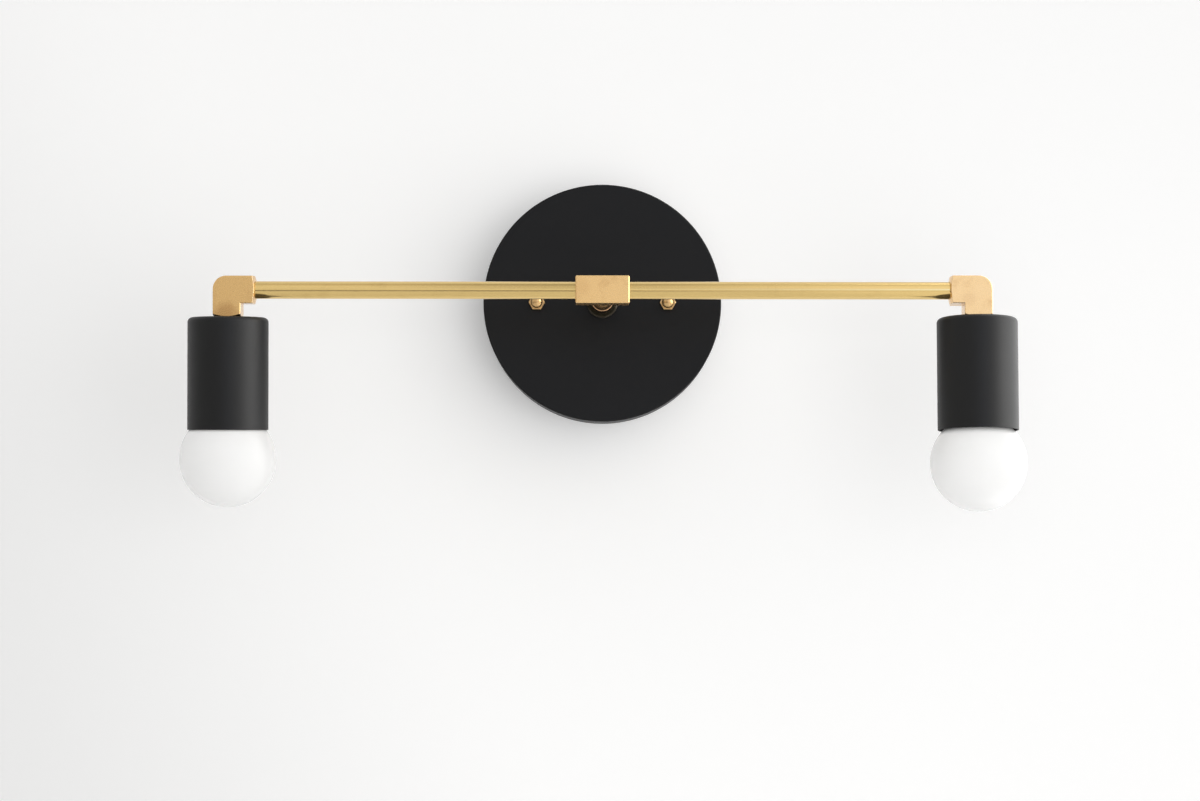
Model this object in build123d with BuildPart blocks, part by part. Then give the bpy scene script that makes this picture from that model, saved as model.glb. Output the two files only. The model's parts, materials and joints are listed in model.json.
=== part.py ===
"""Bar sconce with two lamps on a round canopy.

Millimetres. X runs to the viewer's right, Z runs up and Y runs into the wall. The wall is the
plane Y = 0 and the canopy turns about the Y axis, so the whole fixture stands at Y <= 0.
Plane.XZ faces the room, so Plane.XZ.offset(depth) is the plane at that depth off the wall.

Lamp pieces are drawn once, in lamp coordinates: the origin is where the lamp's axis meets the
bar's axis, X points away from the tee and Z runs down the lamp. Bulb pieces are drawn with the
tip of the bulb at the origin and Z running down through the globe.
"""

import os
from math import cos, radians, sin, sqrt

from build123d import *

os.makedirs("parts", exist_ok=True)

# Clearances, each measured on the radius
FIXED_FIT = 0.05  # pieces that are screwed or pressed together
TURNING_FIT = 0.08  # a tube that turns in its bore
THREAD_CLEARANCE = 0.4  # crest to root in the lamp thread
REST_GAP = 0.3  # faces of moving pieces that stop just short of each other

# Canopy and the hardware that holds it to the wall box
CANOPY_DIAMETER = 127.0
CANOPY_DEPTH = 25.4
CANOPY_WALL = 1.2
CANOPY_EDGE_RADIUS = 0.8
STUD_SPACING = 69.85
STUD_DIAMETER = 4.1
STUD_GRIP = 4.5  # stud length inside each cap nut
CAP_NUT_FLATS = 7.5
CAP_NUT_HEX_HEIGHT = 3.6
CAP_NUT_COLLAR = 1.4  # straight part under the dome
CAP_NUT_DOME = 6.4
CAP_NUT_DOME_HEIGHT = 2.5
CAP_NUT_TURNED_OUT = 0.25  # where the turned corners start, off the flat's middle
CAP_NUT_TURNED = 0.3
JAM_NUT_FLATS = 8.7
JAM_NUT_HEIGHT = 3.2
CROSSBAR_END = 4.55  # metal beyond each slot
CROSSBAR_WIDTH = 19.0
CROSSBAR_THICKNESS = 1.6
CROSSBAR_CENTRE_HOLE = 13.0
BOX_SCREW_SPACING = 88.9
BOX_SCREW_SLOT_WIDTH = 4.4
BOX_SCREW_SLOT_LENGTH = 10.0
GROUND_SCREW_OFFSET = 25.0
GROUND_SCREW_HEAD = 7.2
GROUND_SCREW_HEAD_HEIGHT = 2.4

# Bar: stem, tee and arms
BAR_OFFSET = 95.5  # wall to the bar's axis
LAMP_SPACING = 381.0
TUBE_DIAMETER = 9.0
TUBE_WALL = 1.0
BLOCK = 14.0  # square section of the tee and the elbows
BLOCK_EDGE = 0.35
TEE_END_EDGE = 0.45
PORT_DEPTH = 5.0  # tube length inside a fitting
PORT_SHOULDER = 0.5  # metal left between the stem's port and the wire passage
TEE_LENGTH = 27.4
CHECK_RING_DIAMETER = 16.5
CHECK_RING_THICKNESS = 3.0
NECK_DIAMETER = 12.0
NECK_LENGTH = 13.0
NECK_EDGE = 0.8
STEM_NUT_FLATS = 14.0
STEM_NUT_HEIGHT = 4.5
STEM_TAIL = 2.0  # stem left showing behind its nut
WASHER_THICKNESS = 0.8
WASHER_TEETH = 10

# Wiring
WIRE_DIAMETER = 2.0
WIRE_PITCH = 2.6  # between the axes of two wires side by side
WIRE_BEND = 3.0
LEAD_BEND = 5.0
LEAD_DEPTH = 9.5  # wall to the leads' axes where they run up and down
CONNECTOR_MOUTH = 20.0  # stem axis to the open end of a connector
CONNECTOR_LENGTH = 21.0
CONNECTOR_MOUTH_DIAMETER = 11.0
CONNECTOR_TIP_DIAMETER = 7.0
CONNECTOR_BORE = 5.4
CONNECTOR_GRIP = 11.0
CONNECTOR_RIBS = 8
GROUND_WIRE_DIAMETER = 1.6
GROUND_WIRE_BEND = 4.0
BARREL_DIAMETER = 3.4
BARREL_LENGTH = 6.0
BARREL_START = 9.5

# Screw base of the bulb, and the holder and cup that grow around it
THREAD_PITCH = 3.629
THREAD_TURNS = 4
BASE_ROOT_RADIUS = 12.35
BASE_CREST_RADIUS = 13.1
BASE_WALL = 0.65
BASE_START = 6.0
BASE_LENGTH = 18.0
SHELL_WALL = 0.45
SHELL_START = 3.0  # from the bulb's tip
SHELL_SHORT = 2.0  # base left past the shell's mouth
HOLDER_WALL = 2.0
HOLDER_SHORT = 1.0  # base left past the holder's mouth
HOLDER_FLOOR = 5.0
HOLDER_EDGE = 1.0
CONTACT_RISE = 2.0
CONTACT_THICKNESS = 0.5
CONTACT_WIDTH = 5.0
HOLDER_GAP = 3.9  # holder to the inside of the cup
CUP_WALL = 0.6
CUP_LENGTH = 57.2
CUP_EDGE_RADIUS = 2.5

# Elbow, nipple and strap
ELBOW_REACH = 14.0  # bar axis to each end of the elbow
ELBOW_CORNER_RADIUS = 6.8
ELBOW_EDGE = 0.2
ELBOW_TURNED_IN = 0.9  # where the turned corners start, in from the flat's middle
ELBOW_ARM_TURNED = 1.15  # depth of the turned corners
ELBOW_CUP_TURNED = 1.6
SET_SCREW_DIAMETER = 3.0
SET_SCREW_SINK = 0.3
SET_SCREW_KEY = 1.5
CUP_NUT_FLATS = 14.0
CUP_NUT_HEIGHT = 3.5
NIPPLE_TAIL = 1.0
STRAP_THICKNESS = 1.2
STRAP_WIDTH = 14.0
STRAP_FOOT = 4.5  # leg left below its screw
STRAP_BEND = 1.0
STRAP_SCREW_DIAMETER = 2.6
STRAP_SCREW_HEAD = 4.8
STRAP_SCREW_HEAD_HEIGHT = 1.5
STRAP_SCREW_DEPTH = 4.0
TERMINAL_OFFSET = 9.0
TERMINAL_HEAD = 5.6
TERMINAL_HEAD_HEIGHT = 2.2
TERMINAL_DIAMETER = 3.0
TERMINAL_DEPTH = 3.0

# Bulb
BULB_LENGTH = 76.5
GLOBE_OVERHANG = 4.0  # globe radius beyond the cup's
GLOBE_WALL = 1.0
GLOBE_NECK_RADIUS = 16.5
COLLAR_RIM = 3.5
TIP_DIAMETER = 6.8
TIP_HEIGHT = 1.6
INSULATOR_TOP_RADIUS = 5.0
INSULATOR_LIP = 0.3
BOARD_THICKNESS = 1.6
BOARD_GAP = 0.3
CHIP_COUNT = 8
CHIP_SIZE = 2.8
CHIP_HEIGHT = 0.8

# How each lamp was left: its tilt about the bar, positive toward the room, and how far its
# bulb is unscrewed
LAMP_TILT = {"left": -2.5, "right": 2.0}
BULB_BACKED_OUT = {"left": 0.0, "right": 1.9}

# Sizes that follow from those above
tube_bore = TUBE_DIAMETER - 2 * TUBE_WALL
half_block = BLOCK / 2
elbow_turned_start = half_block - ELBOW_TURNED_IN
cap_nut_turned_start = CAP_NUT_FLATS / 2 + CAP_NUT_TURNED_OUT
canopy_inside = CANOPY_DEPTH - CANOPY_WALL
crossbar_length = BOX_SCREW_SPACING + BOX_SCREW_SLOT_LENGTH + 2 * CROSSBAR_END
stud_length = CANOPY_DEPTH + STUD_GRIP
stem_port_depth = half_block - tube_bore / 2 - PORT_SHOULDER
washer_seat = canopy_inside - WASHER_THICKNESS
stem_nut_seat = washer_seat - WASHER_THICKNESS
stem_end = stem_nut_seat - STEM_NUT_HEIGHT - STEM_TAIL
stem_front = BAR_OFFSET - half_block + stem_port_depth
neck_start = CANOPY_DEPTH + CHECK_RING_THICKNESS
arm_start = TEE_LENGTH / 2 - PORT_DEPTH
arm_end = LAMP_SPACING / 2 - ELBOW_REACH + PORT_DEPTH
wire_offset = WIRE_PITCH / 2
ground_wire_depth = canopy_inside - BARREL_DIAMETER / 2 - FIXED_FIT
ground_wire_offset = GROUND_SCREW_OFFSET - GROUND_SCREW_HEAD / 2 - GROUND_WIRE_DIAMETER / 2 - FIXED_FIT

shell_root_radius = BASE_CREST_RADIUS + THREAD_CLEARANCE
shell_crest_radius = BASE_ROOT_RADIUS + THREAD_CLEARANCE
shell_radius = shell_root_radius + SHELL_WALL
holder_radius = shell_radius + FIXED_FIT + HOLDER_WALL
cup_inner_radius = holder_radius + HOLDER_GAP
cup_radius = cup_inner_radius + CUP_WALL
cup_top = ELBOW_REACH
cup_rim = cup_top + CUP_LENGTH
strap_top = cup_top + CUP_WALL
cup_nut_seat = strap_top + STRAP_THICKNESS
nipple_end = cup_nut_seat + CUP_NUT_HEIGHT + NIPPLE_TAIL

globe_radius = cup_radius + GLOBE_OVERHANG
globe_below_rim = sqrt((globe_radius + REST_GAP) ** 2 - cup_inner_radius**2)
globe_centre = BULB_LENGTH - globe_radius  # from the tip
bulb_tip = cup_rim + globe_below_rim - globe_centre
collar_end = globe_centre - sqrt(globe_radius**2 - GLOBE_NECK_RADIUS**2)
base_end = BASE_START + BASE_LENGTH
base_bore_radius = BASE_ROOT_RADIUS - BASE_WALL
shell_length = base_end - SHELL_START - SHELL_SHORT
holder_length = HOLDER_FLOOR + CONTACT_RISE + base_end - HOLDER_SHORT
thread_start = BASE_START + (BASE_LENGTH - THREAD_TURNS * THREAD_PITCH) / 2

contact_face = bulb_tip - REST_GAP
holder_inside = bulb_tip - CONTACT_RISE
holder_top = holder_inside - HOLDER_FLOOR
strap_inner = holder_radius + FIXED_FIT
strap_outer = strap_inner + STRAP_THICKNESS
strap_screw_level = holder_top + HOLDER_FLOOR / 2
terminal_wire_level = holder_top - WIRE_DIAMETER / 2 - FIXED_FIT
terminal_wire_end = TERMINAL_OFFSET - TERMINAL_HEAD / 2 - FIXED_FIT


def write(piece: Part, label: str) -> None:
    """Label a finished piece and write its STEP file."""
    piece.label = label
    export_step(piece, f"parts/{label}.step")


def facing_room(x: float, depth: float, z: float = 0.0) -> Plane:
    """Plane that faces the room at a depth off the wall."""
    return Plane((x, -depth, z), x_dir=(1, 0, 0), z_dir=(0, -1, 0))


def bore(mouth: Plane, diameter: float, depth: float) -> None:
    """Drill the active part from a mouth whose normal points out of the part."""
    with BuildSketch(mouth) as hole:
        Circle(diameter / 2)
    extrude(hole.sketch, amount=-depth, mode=Mode.SUBTRACT)


def disc(base: Plane, diameter: float, height: float, hole: float = 0.0) -> None:
    """Add a round disc, or a ring if it has a hole, that rises from a plane."""
    with BuildSketch(base) as ring:
        Circle(diameter / 2)
        if hole:
            Circle(hole / 2, mode=Mode.SUBTRACT)
    extrude(ring.sketch, amount=height)


def turn_corners(end: Plane, start: float, corner: float, depth: float) -> None:
    """Turn the corners off a flat-sided end, as a lathe does, from a radius to a depth at the corner.

    The end's normal points out.
    """
    outside = 2 * start
    slope = depth / (corner - start)
    drop = (outside - start) * slope
    with BuildSketch(Plane(end.origin, x_dir=end.x_dir, z_dir=end.x_dir.cross(end.z_dir))) as cut:
        Polygon((start, 0), (outside, 0), (outside, -drop), align=None)
    revolve(cut.sketch, axis=Axis(end.origin, end.z_dir), mode=Mode.SUBTRACT)


def hex_nut(base: Plane, flats: float, height: float, hole: float) -> None:
    """Add a hexagon nut that rises from a plane."""
    with BuildSketch(base) as hexagon:
        RegularPolygon(flats / 2, 6, major_radius=False)
        Circle(hole / 2, mode=Mode.SUBTRACT)
    extrude(hexagon.sketch, amount=height)


def slotted_screw(seat: Plane, head: float, head_height: float, shank: float, depth: float) -> None:
    """Add a screw whose head rises from its seat and whose shank goes down from it."""
    disc(seat.offset(-depth), shank, depth)
    disc(seat, head, head_height)
    with BuildSketch(seat.offset(head_height)) as slot:
        Rectangle(head, head / 6)
    extrude(slot.sketch, amount=-head_height / 2, mode=Mode.SUBTRACT)


def wire(points: list[tuple[float, float, float]], bend: list[float], diameter: float) -> None:
    """Add a round wire along straight runs that are joined by bends."""
    with BuildLine() as run:
        FilletPolyline(*points, radius=bend)
    with BuildSketch(Plane(run.line @ 0, z_dir=run.line % 0)) as section:
        Circle(diameter / 2)
    sweep(section.sketch, path=run.line)


def thread_ridge(start: float, root: float, crest: float) -> None:
    """Wind the lamp thread's ridge around Z, outward or inward, from a root to a crest radius."""
    rise = crest - root
    sunk = -0.25 * rise
    foot = 0.26 * THREAD_PITCH
    top = 0.11 * THREAD_PITCH
    with BuildLine() as run:
        Helix(THREAD_PITCH, THREAD_TURNS * THREAD_PITCH, root, center=(0, 0, start))
    with BuildSketch(Plane((root, 0, start), x_dir=(1, 0, 0), z_dir=(0, -1, 0))) as ridge:
        Polygon((sunk, -foot), (rise, -top), (rise, top), (sunk, foot), align=None)
    sweep(ridge.sketch, path=run.line, is_frenet=True)


# Wall side: canopy, crossbar and their hardware

with BuildPart() as canopy:
    disc(Plane.XZ, CANOPY_DIAMETER, CANOPY_DEPTH)
    fillet(canopy.faces().sort_by(Axis.Y)[0].edges(), CANOPY_EDGE_RADIUS)
    bore(Plane((0, 0, 0), z_dir=(0, 1, 0)), CANOPY_DIAMETER - 2 * CANOPY_WALL, canopy_inside)
    with BuildSketch(Plane.XZ.offset(CANOPY_DEPTH)):
        Circle(TUBE_DIAMETER / 2 + TURNING_FIT)
        with GridLocations(STUD_SPACING, 0, 2, 1):
            Circle(STUD_DIAMETER / 2 + FIXED_FIT)
    extrude(amount=-CANOPY_WALL, mode=Mode.SUBTRACT)

with BuildPart() as crossbar:
    with BuildSketch(Plane.XZ):
        SlotOverall(crossbar_length, CROSSBAR_WIDTH)
        Circle(CROSSBAR_CENTRE_HOLE / 2, mode=Mode.SUBTRACT)
        with GridLocations(STUD_SPACING, 0, 2, 1):
            Circle(STUD_DIAMETER / 2 + FIXED_FIT, mode=Mode.SUBTRACT)
        with GridLocations(BOX_SCREW_SPACING, 0, 2, 1):
            SlotOverall(BOX_SCREW_SLOT_LENGTH, BOX_SCREW_SLOT_WIDTH, mode=Mode.SUBTRACT)
        with Locations((GROUND_SCREW_OFFSET, 0)):
            Circle(STUD_DIAMETER / 2 + FIXED_FIT, mode=Mode.SUBTRACT)
    extrude(amount=CROSSBAR_THICKNESS)

stud_places = (-STUD_SPACING / 2, STUD_SPACING / 2)
stud_hole = STUD_DIAMETER + 2 * FIXED_FIT

with BuildPart() as canopy_studs:
    for place in stud_places:
        disc(facing_room(place, 0), STUD_DIAMETER, stud_length)

with BuildPart() as stud_jam_nuts:
    for place in stud_places:
        hex_nut(facing_room(place, CROSSBAR_THICKNESS), JAM_NUT_FLATS, JAM_NUT_HEIGHT, stud_hole)

with BuildPart() as canopy_cap_nuts:
    dome_radius = CAP_NUT_DOME / 2
    dome_curve = (dome_radius**2 + CAP_NUT_DOME_HEIGHT**2) / (2 * CAP_NUT_DOME_HEIGHT)
    for place in stud_places:
        seat = facing_room(place, CANOPY_DEPTH)
        hex_top = seat.offset(CAP_NUT_HEX_HEIGHT)
        dome_seat = hex_top.offset(CAP_NUT_COLLAR)
        hex_nut(seat, CAP_NUT_FLATS, CAP_NUT_HEX_HEIGHT, 0.5 * stud_hole)
        turn_corners(hex_top, cap_nut_turned_start, CAP_NUT_FLATS / sqrt(3), CAP_NUT_TURNED)
        disc(hex_top, CAP_NUT_DOME, CAP_NUT_COLLAR)
        with BuildSketch(Plane(dome_seat.origin, x_dir=(1, 0, 0), z_dir=(0, 0, 1))):
            with BuildLine():
                Line((0, 0), (dome_radius, 0))
                RadiusArc((dome_radius, 0), (0, -CAP_NUT_DOME_HEIGHT), dome_curve)
                Line((0, -CAP_NUT_DOME_HEIGHT), (0, 0))
            make_face()
        revolve(axis=Axis(dome_seat.origin, dome_seat.z_dir))
        bore(Plane(seat.origin, z_dir=(0, 1, 0)), stud_hole, STUD_GRIP)

with BuildPart() as ground_screw:
    slotted_screw(
        facing_room(GROUND_SCREW_OFFSET, CROSSBAR_THICKNESS),
        GROUND_SCREW_HEAD,
        GROUND_SCREW_HEAD_HEIGHT,
        STUD_DIAMETER,
        CROSSBAR_THICKNESS,
    )

with BuildPart() as ground_ring:
    barrel_mouth = Plane(
        (BARREL_START, -ground_wire_depth, 0), x_dir=(0, 1, 0), z_dir=(1, 0, 0)
    )
    ring_radius = NECK_DIAMETER / 2 + 1
    with BuildSketch(Plane.XZ.offset(washer_seat)):
        Circle(ring_radius)
        with Locations((BARREL_START / 2 + 0.5, 0)):
            Rectangle(BARREL_START + 1, BARREL_DIAMETER)
        Circle(TUBE_DIAMETER / 2 + TURNING_FIT, mode=Mode.SUBTRACT)
    extrude(amount=WASHER_THICKNESS)
    disc(barrel_mouth, BARREL_DIAMETER, BARREL_LENGTH)
    bore(
        barrel_mouth.offset(BARREL_LENGTH),
        GROUND_WIRE_DIAMETER + 2 * FIXED_FIT,
        BARREL_LENGTH * 0.75,
    )

with BuildPart() as ground_wire:
    wire(
        [
            (BARREL_START + BARREL_LENGTH / 2, -ground_wire_depth, 0),
            (ground_wire_offset, -ground_wire_depth, 0),
            (ground_wire_offset, -CROSSBAR_THICKNESS - FIXED_FIT, 0),
        ],
        [min(GROUND_WIRE_BEND, 0.95 * (ground_wire_offset - BARREL_START - BARREL_LENGTH))],
        GROUND_WIRE_DIAMETER,
    )

connectors = {}
leads = {}
for name, up in {"hot": 1, "neutral": -1}.items():
    with BuildPart() as connector:
        mouth = Plane((0, -LEAD_DEPTH, up * CONNECTOR_MOUTH), z_dir=(0, 0, up))
        with BuildSketch(mouth):
            Circle(CONNECTOR_MOUTH_DIAMETER / 2)
        with BuildSketch(mouth.offset(CONNECTOR_LENGTH)):
            Circle(CONNECTOR_TIP_DIAMETER / 2)
        loft()
        with BuildSketch(mouth):
            with PolarLocations(CONNECTOR_MOUTH_DIAMETER / 2, CONNECTOR_RIBS):
                Circle(0.6)
        extrude(amount=0.35 * CONNECTOR_LENGTH)
        fillet(connector.faces().sort_by(Axis.Z)[-1 if up > 0 else 0].edges(), 1.5)
        bore(Plane(mouth.origin, z_dir=(0, 0, -up)), CONNECTOR_BORE, CONNECTOR_GRIP)
    connectors[name] = connector.part

    with BuildPart() as lead_pair:
        for across in (-wire_offset, wire_offset):
            wire(
                [
                    (across, -stem_end, up * wire_offset),
                    (across, -LEAD_DEPTH, up * wire_offset),
                    (across, -LEAD_DEPTH, up * (CONNECTOR_MOUTH + CONNECTOR_GRIP - 1)),
                ],
                [min(LEAD_BEND, 0.95 * (stem_end - LEAD_DEPTH))],
                WIRE_DIAMETER,
            )
    leads[name] = lead_pair.part

# Bar: stem, tee and arms

with BuildPart() as stem_tube:
    disc(Plane.XZ.offset(stem_end), TUBE_DIAMETER, stem_front - stem_end, tube_bore)

with BuildPart() as check_ring:
    disc(
        Plane.XZ.offset(CANOPY_DEPTH),
        CHECK_RING_DIAMETER,
        CHECK_RING_THICKNESS,
        TUBE_DIAMETER + 2 * FIXED_FIT,
    )
    chamfer(check_ring.faces().sort_by(Axis.Y)[0].outer_wire().edges(), NECK_EDGE)

with BuildPart() as stem_neck:
    disc(Plane.XZ.offset(neck_start), NECK_DIAMETER, NECK_LENGTH, TUBE_DIAMETER + 2 * FIXED_FIT)
    fillet(stem_neck.faces().sort_by(Axis.Y)[0].outer_wire().edges(), NECK_EDGE)

with BuildPart() as stem_lock_washer:
    disc(
        Plane.XZ.offset(stem_nut_seat),
        NECK_DIAMETER + 2,
        WASHER_THICKNESS,
        TUBE_DIAMETER + 2 * FIXED_FIT,
    )
    with BuildSketch(Plane.XZ.offset(stem_nut_seat)):
        with PolarLocations(NECK_DIAMETER / 2 + 1, WASHER_TEETH):
            Rectangle(1.6, 0.9)
    extrude(amount=WASHER_THICKNESS, mode=Mode.SUBTRACT)

with BuildPart() as stem_locknut:
    hex_nut(
        Plane.XZ.offset(stem_nut_seat - STEM_NUT_HEIGHT),
        STEM_NUT_FLATS,
        STEM_NUT_HEIGHT,
        TUBE_DIAMETER + 2 * FIXED_FIT,
    )

with BuildPart() as tee_block:
    tee_axis = Plane((0, -BAR_OFFSET, 0), x_dir=(0, 0, 1), z_dir=(1, 0, 0))
    tee_back = Plane((0, -BAR_OFFSET + half_block, 0), x_dir=(1, 0, 0), z_dir=(0, 1, 0))
    with BuildSketch(tee_axis):
        Rectangle(BLOCK, BLOCK)
    extrude(amount=TEE_LENGTH / 2, both=True)
    chamfer(tee_block.edges().filter_by(Axis.X), BLOCK_EDGE)
    chamfer(tee_block.faces().filter_by(Axis.X).edges(), TEE_END_EDGE)
    for sign in (-1, 1):
        tee_end = Plane((sign * TEE_LENGTH / 2, -BAR_OFFSET, 0), x_dir=(0, 0, 1), z_dir=(sign, 0, 0))
        bore(tee_end, TUBE_DIAMETER + 2 * FIXED_FIT, PORT_DEPTH)
        bore(tee_end, tube_bore, TEE_LENGTH / 2)
    bore(tee_back, TUBE_DIAMETER + 2 * FIXED_FIT, stem_port_depth)
    bore(tee_back, tube_bore, half_block)

arm_tubes = {}
arm_wires = {}
for side, sign in {"left": -1, "right": 1}.items():
    with BuildPart() as arm_tube:
        arm_root = Plane((sign * arm_start, -BAR_OFFSET, 0), x_dir=(0, 0, 1), z_dir=(sign, 0, 0))
        disc(arm_root, TUBE_DIAMETER, arm_end - arm_start, tube_bore)
    arm_tubes[side] = arm_tube.part

    with BuildPart() as wire_pair:
        for height in (-wire_offset, wire_offset):
            wire(
                [
                    (sign * wire_offset, -stem_end, height),
                    (sign * wire_offset, -BAR_OFFSET, height),
                    (sign * arm_end, -BAR_OFFSET, height),
                ],
                [WIRE_BEND],
                WIRE_DIAMETER,
            )
    arm_wires[side] = wire_pair.part

# Lamp, in lamp coordinates

with BuildPart() as elbow:
    arm_port = Plane((-ELBOW_REACH, 0, 0), x_dir=(0, 1, 0), z_dir=(-1, 0, 0))
    cup_port = Plane((0, 0, ELBOW_REACH), x_dir=(1, 0, 0), z_dir=(0, 0, 1))
    set_screw_mouth = Plane((-ELBOW_REACH + PORT_DEPTH / 2, 0, -half_block), z_dir=(0, 0, -1))
    with BuildSketch(Plane.XZ) as outline:
        with BuildLine():
            Polyline(
                (-ELBOW_REACH, -half_block),
                (half_block, -half_block),
                (half_block, ELBOW_REACH),
                (-half_block, ELBOW_REACH),
                (-half_block, half_block),
                (-ELBOW_REACH, half_block),
                close=True,
            )
        make_face()
        outer_corner = outline.vertices().group_by(Axis.X)[-1].sort_by(Axis.Y)[0]
        fillet(outer_corner, ELBOW_CORNER_RADIUS)
    extrude(amount=half_block, both=True)
    chamfer(elbow.faces().filter_by(Axis.Y).edges(), ELBOW_EDGE)
    turn_corners(arm_port, elbow_turned_start, BLOCK / sqrt(2), ELBOW_ARM_TURNED)
    turn_corners(cup_port, elbow_turned_start, BLOCK / sqrt(2), ELBOW_CUP_TURNED)
    bore(arm_port, TUBE_DIAMETER + 2 * TURNING_FIT, PORT_DEPTH + REST_GAP)
    bore(arm_port, tube_bore, ELBOW_REACH)
    bore(cup_port, TUBE_DIAMETER + 2 * FIXED_FIT, PORT_DEPTH)
    bore(cup_port, tube_bore, ELBOW_REACH)
    Sphere(tube_bore / 2, mode=Mode.SUBTRACT)
    bore(set_screw_mouth, SET_SCREW_DIAMETER + 2 * FIXED_FIT, half_block - tube_bore / 2)

with BuildPart() as elbow_set_screw:
    tube_top = Plane(set_screw_mouth.origin, z_dir=(0, 0, -1)).offset(
        TUBE_DIAMETER / 2 + TURNING_FIT - half_block
    )
    set_screw_length = half_block - TUBE_DIAMETER / 2 - TURNING_FIT - SET_SCREW_SINK
    disc(tube_top, SET_SCREW_DIAMETER, set_screw_length)
    with BuildSketch(tube_top.offset(set_screw_length)):
        RegularPolygon(SET_SCREW_KEY / 2, 6, major_radius=False)
    extrude(amount=-set_screw_length / 2, mode=Mode.SUBTRACT)

with BuildPart() as cup_nipple:
    nipple_start = Plane.XY.offset(ELBOW_REACH - PORT_DEPTH)
    disc(nipple_start, TUBE_DIAMETER, nipple_end - ELBOW_REACH + PORT_DEPTH, tube_bore)

with BuildPart() as cup:
    with BuildSketch(Plane.XY.offset(cup_top)):
        Circle(cup_radius)
    extrude(amount=CUP_LENGTH)
    fillet(cup.faces().sort_by(Axis.Z)[0].edges(), CUP_EDGE_RADIUS)
    offset(amount=-CUP_WALL, openings=cup.faces().sort_by(Axis.Z)[-1])
    bore(Plane((0, 0, cup_top), z_dir=(0, 0, -1)), TUBE_DIAMETER + 2 * FIXED_FIT, CUP_WALL)

with BuildPart() as holder_strap:
    strap_end = strap_screw_level + STRAP_FOOT
    with BuildSketch(Plane.YZ) as strap_outline:
        with BuildLine():
            Polyline(
                (-strap_outer, strap_end),
                (-strap_outer, strap_top),
                (strap_outer, strap_top),
                (strap_outer, strap_end),
                (strap_inner, strap_end),
                (strap_inner, cup_nut_seat),
                (-strap_inner, cup_nut_seat),
                (-strap_inner, strap_end),
                close=True,
            )
        make_face()
        outer_bends = strap_outline.vertices().group_by(Axis.Y)[0]
        fillet(outer_bends, STRAP_BEND + STRAP_THICKNESS)
        inner_bends = [
            corner
            for corner in strap_outline.vertices()
            if abs(corner.Y - cup_nut_seat) < 0.01 and abs(abs(corner.X) - strap_inner) < 0.01
        ]
        fillet(inner_bends, STRAP_BEND)
    extrude(amount=STRAP_WIDTH / 2, both=True)
    bore(
        Plane((0, 0, strap_top), z_dir=(0, 0, -1)),
        TUBE_DIAMETER + 2 * FIXED_FIT,
        STRAP_THICKNESS,
    )
    for across in (-1, 1):
        leg_face = Plane((0, across * strap_outer, strap_screw_level), z_dir=(0, across, 0))
        bore(leg_face, STRAP_SCREW_DIAMETER + 2 * FIXED_FIT, STRAP_THICKNESS)

with BuildPart() as cup_locknut:
    hex_nut(
        Plane.XY.offset(cup_nut_seat),
        CUP_NUT_FLATS,
        CUP_NUT_HEIGHT,
        TUBE_DIAMETER + 2 * FIXED_FIT,
    )

with BuildPart() as lampholder:
    disc(Plane.XY.offset(holder_top), 2 * holder_radius, holder_length)
    fillet(lampholder.faces().sort_by(Axis.Z)[0].edges(), HOLDER_EDGE)
    holder_mouth = Plane.XY.offset(holder_top + holder_length)
    bore(holder_mouth, 2 * (shell_radius + FIXED_FIT), holder_length - HOLDER_FLOOR)
    for across in (-1, 1):
        terminal_mouth = Plane((across * TERMINAL_OFFSET, 0, holder_top), z_dir=(0, 0, -1))
        bore(terminal_mouth, TERMINAL_DIAMETER + 2 * FIXED_FIT, TERMINAL_DEPTH + FIXED_FIT)
        screw_mouth = Plane((0, across * holder_radius, strap_screw_level), z_dir=(0, across, 0))
        bore(screw_mouth, STRAP_SCREW_DIAMETER + 2 * FIXED_FIT, STRAP_SCREW_DEPTH + FIXED_FIT)

with BuildPart() as strap_screws:
    for across in (-1, 1):
        head_seat = Plane((0, across * strap_outer, strap_screw_level), z_dir=(0, across, 0))
        slotted_screw(
            head_seat,
            STRAP_SCREW_HEAD,
            STRAP_SCREW_HEAD_HEIGHT,
            STRAP_SCREW_DIAMETER,
            STRAP_THICKNESS + STRAP_SCREW_DEPTH,
        )

with BuildPart() as terminal_screws:
    for across in (-1, 1):
        slotted_screw(
            Plane((across * TERMINAL_OFFSET, 0, holder_top), z_dir=(0, 0, -1)),
            TERMINAL_HEAD,
            TERMINAL_HEAD_HEIGHT,
            TERMINAL_DIAMETER,
            TERMINAL_DEPTH,
        )

with BuildPart() as screw_shell:
    shell_start = Plane.XY.offset(bulb_tip + SHELL_START)
    disc(shell_start, 2 * shell_radius, shell_length, 2 * shell_root_radius)
    thread_ridge(bulb_tip + thread_start - THREAD_PITCH / 2, shell_root_radius, shell_crest_radius)

with BuildPart() as centre_contact:
    half_strip = CONTACT_THICKNESS / 2
    with BuildSketch(Plane.XZ):
        with BuildLine():
            Polyline(
                (-0.6 * shell_radius, holder_inside + half_strip),
                (-0.2 * shell_radius, holder_inside + half_strip),
                (0, contact_face - half_strip),
                (TIP_DIAMETER / 2, contact_face - half_strip),
            )
        trace(line_width=CONTACT_THICKNESS)
    extrude(amount=CONTACT_WIDTH / 2, both=True)

with BuildPart() as lamp_wires:
    for outward in (-1, 1):
        lane = outward * wire_offset
        wire(
            [
                (-ELBOW_REACH + PORT_DEPTH, 0, -lane),
                (lane, 0, -lane),
                (lane, 0, terminal_wire_level),
                (outward * terminal_wire_end, 0, terminal_wire_level),
            ],
            [tube_bore / 2 + lane, min(WIRE_BEND, 0.9 * (terminal_wire_end - wire_offset))],
            WIRE_DIAMETER,
        )

# Bulb, in bulb coordinates

with BuildPart() as bulb_tip_contact:
    disc(Plane.XY, TIP_DIAMETER, TIP_HEIGHT)
    fillet(bulb_tip_contact.faces().sort_by(Axis.Z)[0].edges(), TIP_HEIGHT / 2)

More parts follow.
